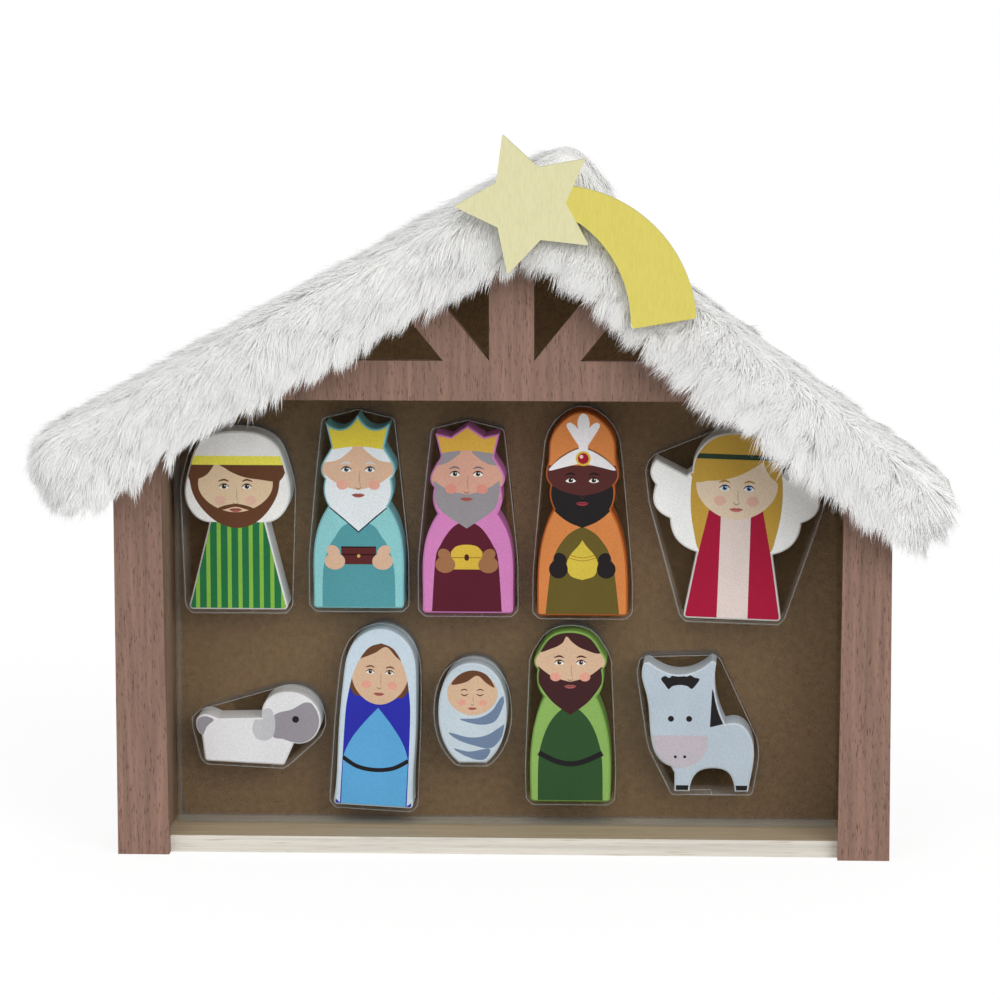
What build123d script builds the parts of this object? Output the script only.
"""Wooden nativity stable: a pine box with a stained plywood front, a fur-covered roof, a shooting star,
and a clear formed tray that holds ten flat printed figures. Millimetres, +Z up, the open front faces -Y."""
import os
from math import atan2, cos, degrees, radians, sin, tan

from build123d import *

# box: two side walls, a floor between them, a panel nailed on behind and a facing glued on in front
outer_width = 254.0
wall_thickness = 15.5
wall_depth = 32.0
floor_thickness = 5.6
panel_thickness = 3.0
facing_thickness = 4.5

# facing posts, a little wider at the foot
post_foot_width = 17.0
post_top_width = 14.8

# roof: the left board laps over the upper end of the right one; each wall ends below the tie beam by its drop
ridge_offset = 11.0
ridge_height = 211.0
gable_height = 59.6
left_eave_drop = 16.9
right_eave_drop = 26.2
left_eave_overhang = 12.1
right_eave_overhang = 14.8
ridge_lap = 17.0
roof_thickness = 8.0
roof_front_overhang = 5.0

# gable truss, cut from one sheet
rafter_width = 7.0
beam_height = 13.0
king_post_offset = 3.4
king_post_width = 14.6
strut_angle = 51.0
strut_base = 15.0

# fur strips over the roof
fur_thickness = 8.0
left_fur_pile = 9.0
right_fur_pile = 5.0
fur_hang = 9.0
fur_corner_share = 0.6
fur_rear_margin = 2.0

# shooting star on the front of the fur
star_x = 9.4
star_rise = 5.8
star_radius = 23.6
star_notch_radius = 12.2
star_turn = 110.0
star_points = 5
star_tip_round = 0.3
star_thickness = 3.0
tail_reach = 54.0
tail_drop = 40.0
tail_corner_round = 1.0
tail_top_shares = [(0.27, 0.14), (0.73, -0.15), (1.0, -0.91)]
tail_under_shares = [(0.61, -1.0), (0.53, -0.5), (0.31, -0.155)]

# clear tray with one drafted pocket for each figure
tray_side_gap = 0.3
tray_bottom_gap = 0.3
tray_top_gap = 2.0
tray_depth = 13.0
tray_roof_gap = 1.0
film = 0.5
pocket_clearance = 0.7
pocket_draft = 4.0
pocket_step = 3.0
pocket_slack = 0.02

# brads
brad_shank = 1.4
brad_head = 2.6
brad_head_thickness = 0.7
brad_clearance = 0.05
roof_brad_length = 18.0
panel_brad_length = 14.0
floor_brad_length = 26.0
roof_brad_inset = 8.0
panel_brad_spacing = 58.0
panel_brad_low = 16.0
floor_brad_spacing = 18.0

# figures: each has its width, its height, the gap on its left and its lift above the lowest foot of its row;
# the figures and gaps of a row share out the tray's width between them
figure_thickness = 15.0
figure_edge = 0.5
foot_round = 1.2
shepherd_width = 35.0
shepherd_height = 59.6
shepherd_gap = 3.7
shepherd_lift = 2.3
teal_king_width = 30.2
teal_king_height = 64.4
teal_king_gap = 7.4
teal_king_lift = 3.0
pink_king_width = 30.2
pink_king_height = 62.4
pink_king_gap = 6.0
pink_king_lift = 1.6
orange_king_width = 30.0
orange_king_height = 68.0
orange_king_gap = 7.8
orange_king_lift = 1.0
angel_width = 57.6
angel_height = 62.2
angel_gap = 5.6
angel_lift = 0.0
sheep_width = 42.0
sheep_height = 24.8
sheep_gap = 5.5
sheep_lift = 20.6
mother_width = 26.8
mother_height = 60.0
mother_gap = 4.7
mother_lift = 6.4
baby_width = 22.8
baby_height = 33.6
baby_gap = 8.4
baby_lift = 21.5
father_width = 26.8
father_height = 57.5
father_gap = 7.7
father_lift = 8.6
donkey_width = 37.0
donkey_height = 44.0
donkey_gap = 10.3
donkey_lift = 12.4
upper_end_gap = 5.9
lower_end_gap = 27.4
row_gap = 4.0
tray_head_room = 4.1

# lean, in degrees, of the figures that sit askew in their pockets
angel_lean = 1.9
sheep_lean = 2.8
mother_lean = 3.2

# outlines as shares of width and height: a step with one point is straight, one with more is a smooth
# curve through them; the upright figures give their right half, from the foot to the top
shepherd_shares = [
    [(0.475, 0.0)],
    [(0.267, 0.487)],
    [(0.425, 0.535), (0.497, 0.63), (0.455, 0.8), (0.375, 0.92), (0.21, 0.985), (0.0, 1.0)],
]
king_body_shares = [
    [(0.497, 0.0)],
    [(0.495, 0.16), (0.462, 0.385), (0.325, 0.528)],
    [(0.372, 0.585), (0.362, 0.67)],
    [(0.405, 0.725), (0.372, 0.768), (0.288, 0.836)],
    [(0.348, 0.958)],
]
wavy_crown_shares = [[(0.18, 0.928), (0.0, 1.0)]]
notched_crown_shares = [[(0.18, 0.94)], [(0.0, 1.0)]]
orange_king_shares = [
    [(0.497, 0.0)],
    [(0.495, 0.15), (0.455, 0.35), (0.312, 0.522)],
    [(0.352, 0.57), (0.348, 0.64)],
    [(0.4, 0.7), (0.373, 0.755), (0.358, 0.85), (0.25, 0.94), (0.0, 1.0)],
]
father_shares = [
    [(0.49, 0.0)],
    [(0.5, 0.2), (0.452, 0.435), (0.325, 0.613)],
    [(0.395, 0.675), (0.4, 0.775)],
    [(0.445, 0.83), (0.395, 0.875), (0.255, 0.965), (0.0, 1.0)],
]
mother_shares = [
    [(0.497, 0.0)],
    [(0.478, 0.4), (0.45, 0.72), (0.345, 0.915), (0.0, 1.0)],
]
baby_shares = [
    [(0.2, 0.0)],
    [(0.365, 0.13), (0.475, 0.33), (0.497, 0.52), (0.44, 0.76), (0.28, 0.93), (0.0, 1.0)],
]
angel_shares = [
    [(0.281, 0.0)],
    [(0.216, 0.355)],
    [(0.335, 0.42), (0.375, 0.53)],
    [(0.465, 0.595), (0.462, 0.707)],
    [(0.497, 0.775), (0.465, 0.84)],
    [(0.29, 0.762)],
    [(0.257, 0.785)],
    [(0.235, 0.88), (0.15, 0.968), (0.0, 1.0)],
]
sheep_shares = [
    [(-0.405, 0.0)],
    [(0.224, 0.0)],
    [(0.295, 0.306)],
    [(0.457, 0.41), (0.5, 0.625), (0.426, 0.887), (0.236, 1.0), (0.086, 0.911), (0.033, 0.629)],
    [(-0.318, 0.585)],
    [(-0.374, 0.62), (-0.43, 0.628), (-0.48, 0.58), (-0.49, 0.5), (-0.44, 0.35)],
    [(-0.405, 0.0)],
]
donkey_shares = [
    [(-0.205, 0.0)],
    [(-0.07, 0.0)],
    [(-0.063, 0.05), (0.0, 0.145), (0.135, 0.178), (0.275, 0.145), (0.328, 0.05), (0.335, 0.0)],
    [(0.454, 0.0)],
    [(0.497, 0.2), (0.5, 0.35), (0.41, 0.5), (0.249, 0.515)],
    [(0.185, 0.65), (0.165, 0.985)],
    [(0.125, 1.0)],
    [(-0.157, 0.893), (-0.435, 0.985)],
    [(-0.48, 0.98)],
    [(-0.5, 0.89), (-0.459, 0.743), (-0.419, 0.425), (-0.357, 0.261), (-0.238, 0.19)],
    [(-0.205, 0.14)],
    [(-0.205, 0.0)],
]

# overrun for cuts
overrun = 5.0

# planes worked out from the sizes above
half_width = outer_width / 2
facing_front = -(facing_thickness + wall_depth + panel_thickness) / 2
box_front = facing_front + facing_thickness
box_back = box_front + wall_depth
rear = box_back + panel_thickness
roof_front = facing_front - roof_front_overhang
fur_front = roof_front - fur_thickness
fur_back = rear - fur_rear_margin
reach = outer_width + ridge_height
beam_bottom = ridge_height - gable_height
beam_top = beam_bottom + beam_height
inner_half = half_width - wall_thickness

left_half = half_width + ridge_offset
right_half = half_width - ridge_offset
left_pitch = degrees(atan2(gable_height + left_eave_drop, left_half))
right_pitch = degrees(atan2(gable_height + right_eave_drop, right_half))
left_roof_length = (left_half + left_eave_overhang) / cos(radians(left_pitch))
right_roof_length = (right_half + right_eave_overhang) / cos(radians(right_pitch))
ridge = (ridge_offset, 0, ridge_height)
left_run = (cos(radians(left_pitch)), 0, sin(radians(left_pitch)))
left_up = (-sin(radians(left_pitch)), 0, cos(radians(left_pitch)))
right_run = (cos(radians(right_pitch)), 0, -sin(radians(right_pitch)))
right_up = (sin(radians(right_pitch)), 0, cos(radians(right_pitch)))
left_plane = Plane(ridge, x_dir=left_run, z_dir=left_up)
right_plane = Plane(ridge, x_dir=right_run, z_dir=right_up)


def span(x0, x1, y0, y1, z0, z1):
    """Box between two corners."""
    return Pos((x0 + x1) / 2, (y0 + y1) / 2, (z0 + z1) / 2) * Box(x1 - x0, y1 - y0, z1 - z0)


def above(height):
    """Everything higher than the two roof undersides raised by the given height."""
    far = span(-reach, reach, -reach, reach, height, reach)
    return left_plane * far, right_plane * far


def under_roof(solid, height=0.0):
    left_space, right_space = above(height)
    return solid - left_space - right_space


def front_plane(x, y, z):
    """Upright plane seen from the front, with its face towards -Y."""
    return Plane((x, y, z), x_dir=(1, 0, 0), z_dir=(0, -1, 0))


def brad(length, spare=0.0):
    """Brad with its flat head on the local plane and its shank pointing down."""
    shank = Pos(0, 0, -length / 2) * Cylinder(brad_shank / 2 + spare, length)
    head = Pos(0, 0, -brad_head_thickness / 2) * Cylinder(brad_head / 2 + spare, brad_head_thickness)
    return shank + head


def drive(places, length):
    """The brads at these places and the cutters for their holes."""
    return [p * brad(length) for p in places], [p * brad(length, brad_clearance) for p in places]


def trace(steps):
    """Closed face from steps, each starting where the last one ended."""
    edges = []
    last = steps[0][-1]
    for step in steps[1:]:
        edges.append(Line(last, step[0]) if len(step) == 1 else Spline(last, *step))
        last = step[-1]
    return make_face(edges)


def scaled(width, height, shares):
    return [[(u * width, v * height) for u, v in step] for step in shares]


def round_feet(face):
    return fillet(face.vertices().group_by(Axis.Y)[0], foot_round)


def upright(width, height, shares):
    """Outline mirrored about its middle, with the two foot corners rounded; a domed top is one curve."""
    half = scaled(width, height, shares)
    steps = list(half)
    back = []
    for before, step in zip(half[-2::-1], half[:0:-1]):
        back.append([(-u, v) for u, v in reversed([before[-1]] + step[:-1])])
    if len(steps[-1]) > 2:
        steps[-1] = steps[-1] + back.pop(0)
    return round_feet(trace(steps + back + [half[0]]))


def free_form(width, height, shares):
    return trace(scaled(width, height, shares))


def footed_form(width, height, shares):
    return round_feet(free_form(width, height, shares))


def carve(face, place):
    """Flat figure: the outline through the thickness, with its front and back edges eased."""
    block = extrude(place * face, figure_thickness)
    rims = block.faces().sort_by(Axis.Y)
    return chamfer(rims[0].edges() + rims[-1].edges(), figure_edge)


def turn(a, b, c):
    return (b[0] - a[0]) * (c[1] - a[1]) - (b[1] - a[1]) * (c[0] - a[0])


def hull(face):
    """Convex outline round a face."""
    spots = []
    for edge in face.edges():
        count = int(edge.length / pocket_step) + 1
        spots.extend(edge @ (i / count) for i in range(count + 1))
    ordered = sorted({(round(p.X, 3), round(p.Y, 3)) for p in spots})
    chains = []
    for row in (ordered, ordered[::-1]):
        chain = []
        for spot in row:
            while len(chain) > 1 and turn(chain[-2], chain[-1], spot) <= pocket_step * pocket_slack:
                chain.pop()
            chain.append(spot)
        chains.append(chain[:-1])
    return make_face(Polyline(chains[0] + chains[1], close=True))


def pocket(face, x, z, wall, back, length):
    """Solid of a drafted pocket that opens towards the front, grown by a wall thickness."""
    outline = offset(hull(face), pocket_clearance + wall, kind=Kind.ARC)
    return extrude(front_plane(x, back, z) * outline, length, taper=-pocket_draft)


# box
left_wall = under_roof(span(-half_width, -inner_half, box_front, box_back, 0, ridge_height))
right_wall = under_roof(span(inner_half, half_width, box_front, box_back, 0, ridge_height))
floor_board = span(-inner_half, inner_half, box_front, box_back, 0, floor_thickness)
back_panel = under_roof(span(-half_width, half_width, box_back, rear, 0, ridge_height + overrun))

# facing posts
post_points = [
    (half_width, 0),
    (half_width - post_foot_width, 0),
    (half_width - post_top_width, ridge_height),
    (half_width, ridge_height),
]
post_face = make_face(Polyline(post_points, close=True))
post_blank = extrude(front_plane(0, box_front, 0) * post_face, facing_thickness)
right_post = under_roof(post_blank)
left_post = under_roof(mirror(post_blank, about=Plane.YZ))

# gable truss
sheet = span(-half_width, half_width, facing_front, box_front, 0, ridge_height + overrun)
clearing = span(-reach, reach, facing_front - overrun, box_front + overrun, -overrun, reach)
rafters = under_roof(sheet) - under_roof(clearing, -rafter_width)
beam = span(-half_width, half_width, facing_front, box_front, beam_bottom, beam_top)
king_left = king_post_offset - king_post_width / 2
king_right = king_post_offset + king_post_width / 2
king_post = span(king_left, king_right, facing_front, box_front, beam_bottom, ridge_height + overrun)
strut_rise = gable_height
strut_run = strut_rise / tan(radians(strut_angle))
strut_points = [
    (king_post_width / 2, beam_top - beam_height),
    (king_post_width / 2, beam_top),
    (king_post_width / 2 + strut_run, beam_top + strut_rise),
    (king_post_width / 2 + strut_base + strut_run, beam_top + strut_rise),
    (king_post_width / 2 + strut_base, beam_top),
    (king_post_width / 2 + strut_base, beam_top - beam_height),
]
strut_face = make_face(Polyline(strut_points, close=True))
strut = extrude(front_plane(0, box_front, 0) * strut_face, facing_thickness)
struts = Pos(king_post_offset, 0, 0) * (strut + mirror(strut, about=Plane.YZ))
gable_truss = rafters + under_roof(beam + king_post + struts) - left_post - right_post

# roof boards
left_roof_board = left_plane * span(-left_roof_length, ridge_lap, roof_front, rear, 0, roof_thickness)
right_blank = span(-right_roof_length, right_roof_length, roof_front, rear, 0, roof_thickness)
right_roof_board = right_plane * right_blank - left_plane * span(-reach, reach, -reach, reach, 0, reach)

# fur: over the top, down the front and round the ends of the left board; the right strip stops at the eave
left_fur_block = left_plane * span(
    -left_roof_length - fur_thickness,
    ridge_lap + fur_thickness,
    fur_front,
    fur_back,
    -fur_hang,
    roof_thickness + left_fur_pile,
)
left_fur_room = left_plane * span(-left_roof_length, ridge_lap, roof_front, reach, -reach, roof_thickness)
right_board_side = right_plane * span(-reach, reach, roof_front, reach, -reach, roof_thickness)
left_fur_end = right_board_side & left_plane * span(0, reach, roof_front, reach, -reach, 0)
left_fur = left_fur_block - left_fur_room - left_fur_end
right_fur_block = right_plane * span(
    0, right_roof_length, fur_front, fur_back, -fur_hang, roof_thickness + right_fur_pile
)
left_envelope = left_plane * span(-reach, ridge_lap + fur_thickness, -reach, reach, -fur_hang, reach)
right_fur = right_fur_block - right_board_side - left_envelope
left_eave = left_fur.edges().filter_by(Axis.Y).sort_by(Axis.X)[0]
right_eave = right_fur.edges().filter_by(Axis.Y).sort_by(Axis.X)[-1]
left_fur = fillet(left_eave, fur_corner_share * left_fur_pile)
right_fur = fillet(right_eave, fur_corner_share * right_fur_pile)

# shooting star
star_spots = []
for i in range(star_points):
    for radius, half_step in ((star_radius, 0), (star_notch_radius, 1)):
        angle = radians(star_turn + (2 * i + half_step) * 180 / star_points)
        star_spots.append((radius * cos(angle), radius * sin(angle)))
star_face = make_face(Polyline(star_spots, close=True))
star_tips = star_face.vertices().sort_by(lambda v: v.X * v.X + v.Y * v.Y)[-star_points:]
star_face = fillet(star_tips, star_tip_round)
tail_top = [(u * tail_reach, v * tail_drop) for u, v in tail_top_shares]
tail_under = [(u * tail_reach, v * tail_drop) for u, v in tail_under_shares]
tail_face = make_face(
    [
        Line((0, 0), tail_top[0]),
        ThreePointArc(*tail_top),
        Line(tail_top[-1], tail_under[0]),
        ThreePointArc(*tail_under),
        Line(tail_under[-1], (0, 0)),
    ]
)
tail_ends = tail_face.vertices().sort_by(Axis.Y)[:2]
tail_face = fillet(tail_ends, tail_corner_round)
star_place = front_plane(star_x, fur_front, ridge_height + star_rise)
shooting_star = extrude(star_place * (star_face + tail_face), star_thickness)

# figures and their tray
teal_king_shares = king_body_shares + wavy_crown_shares
pink_king_shares = king_body_shares + notched_crown_shares
upper_row = [
    ("shepherd", upright, shepherd_shares, shepherd_width, shepherd_height, shepherd_gap, shepherd_lift),
    ("king_teal", upright, teal_king_shares, teal_king_width, teal_king_height, teal_king_gap, teal_king_lift),
    ("king_pink", upright, pink_king_shares, pink_king_width, pink_king_height, pink_king_gap, pink_king_lift),
    (
        "king_orange",
        upright,
        orange_king_shares,
        orange_king_width,
        orange_king_height,
        orange_king_gap,
        orange_king_lift,
    ),
    ("angel", upright, angel_shares, angel_width, angel_height, angel_gap, angel_lift),
]
lower_row = [
    ("sheep", footed_form, sheep_shares, sheep_width, sheep_height, sheep_gap, sheep_lift),
    ("mother", upright, mother_shares, mother_width, mother_height, mother_gap, mother_lift),
    ("baby", upright, baby_shares, baby_width, baby_height, baby_gap, baby_lift),
    ("father", upright, father_shares, father_width, father_height, father_gap, father_lift),
    ("donkey", free_form, donkey_shares, donkey_width, donkey_height, donkey_gap, donkey_lift),
]
leans = {"angel": angel_lean, "sheep": sheep_lean, "mother": mother_lean}
tray_front = box_back - tray_depth
tray_bottom = floor_thickness + tray_bottom_gap
tray_top = beam_bottom - tray_top_gap
tray_half = half_width - post_foot_width - tray_side_gap


def row_height(row):
    return max(height + lift for _, _, _, _, height, _, lift in row)


upper_base = row_height(lower_row) + row_gap
rise_fit = (tray_top - tray_bottom) / (upper_base + row_height(upper_row) + tray_head_room)


def set_out(row, end_gap, base):
    """Face and foot place of each figure in a row that fills the tray from end to end."""
    row_fit = 2 * tray_half / (end_gap + sum(width + gap for _, _, _, width, _, gap, _ in row))
    edge = -tray_half
    placed = []
    for name, form, shares, width, height, gap, lift in row:
        middle = edge + row_fit * (gap + width / 2)
        foot = tray_bottom + rise_fit * (base + lift)
        face = form(row_fit * width, rise_fit * height, shares)
        placed.append((name, Rot(0, 0, -leans.get(name, 0)) * face, middle, foot))
        edge = middle + row_fit * width / 2
    return placed


figures = set_out(upper_row, upper_end_gap, upper_base) + set_out(lower_row, lower_end_gap, 0)
tray_high = -fur_hang - tray_roof_gap
tray_shell = under_roof(span(-tray_half, tray_half, tray_front, box_back, tray_bottom, tray_top), tray_high)
tray_room = span(
    -tray_half + film, tray_half - film, tray_front + film, box_back + overrun, tray_bottom + film, tray_top - film
)
blister_tray = tray_shell - under_roof(tray_room, tray_high - film)
carved = {}
for name, face, x, z in figures:
    carved["figure_" + name] = carve(face, front_plane(x, box_back - film, z))
    blister_tray = blister_tray + pocket(face, x, z, film, box_back, tray_depth)
for name, face, x, z in figures:
    blister_tray = blister_tray - pocket(face, x, z, 0.0, box_back - film, tray_depth + overrun)

# brads: roof boards to the walls, panel to walls and floor, walls to the floor
wall_middle = half_width - wall_thickness / 2
depth_rows = (box_front + roof_brad_inset, box_back - roof_brad_inset)
left_seat = -(wall_middle + ridge_offset) / cos(radians(left_pitch))
right_seat = (wall_middle - ridge_offset) / cos(radians(right_pitch))
left_roof_places = [Location(left_plane) * Pos(left_seat, y, roof_thickness) for y in depth_rows]
right_roof_places = [Location(right_plane) * Pos(right_seat, y, roof_thickness) for y in depth_rows]
panel_places = []
for i in range(-1, 2):
    side_height = panel_brad_low + (i + 1) * panel_brad_spacing / 2
    panel_places.append(Location(Plane((i * panel_brad_spacing, rear, floor_thickness / 2), z_dir=(0, 1, 0))))
    panel_places.append(Location(Plane((-wall_middle, rear, side_height), z_dir=(0, 1, 0))))
    panel_places.append(Location(Plane((wall_middle, rear, side_height), z_dir=(0, 1, 0))))
floor_places = []
for side in (-1, 1):
    for i in (-1, 1):
        spot = (side * half_width, (box_front + box_back + i * floor_brad_spacing) / 2, floor_thickness / 2)
        floor_places.append(Location(Plane(spot, z_dir=(side, 0, 0))))
roof_brads, roof_holes = drive(left_roof_places + right_roof_places, roof_brad_length)
panel_brads, panel_holes = drive(panel_places, panel_brad_length)
floor_brads, floor_holes = drive(floor_places, floor_brad_length)
left_wall = left_wall - roof_holes - panel_holes - floor_holes
right_wall = right_wall - roof_holes - panel_holes - floor_holes
left_roof_board = left_roof_board - roof_holes
right_roof_board = right_roof_board - roof_holes
back_panel = back_panel - panel_holes
floor_board = floor_board - panel_holes - floor_holes

nodes = {
    "floor_board": floor_board,
    "left_wall": left_wall,
    "right_wall": right_wall,
    "back_panel": back_panel,
    "left_post": left_post,
    "right_post": right_post,
    "gable_truss": gable_truss,
    "left_roof_board": left_roof_board,
    "right_roof_board": right_roof_board,
    "left_fur": left_fur,
    "right_fur": right_fur,
    "shooting_star": shooting_star,
    "blister_tray": blister_tray,
    "roof_brads": Compound(roof_brads),
    "panel_brads": Compound(panel_brads),
    "floor_brads": Compound(floor_brads),
}
nodes.update(carved)
os.makedirs("parts", exist_ok=True)
for name, solid in nodes.items():
    export_step(solid, "parts/" + name + ".step")
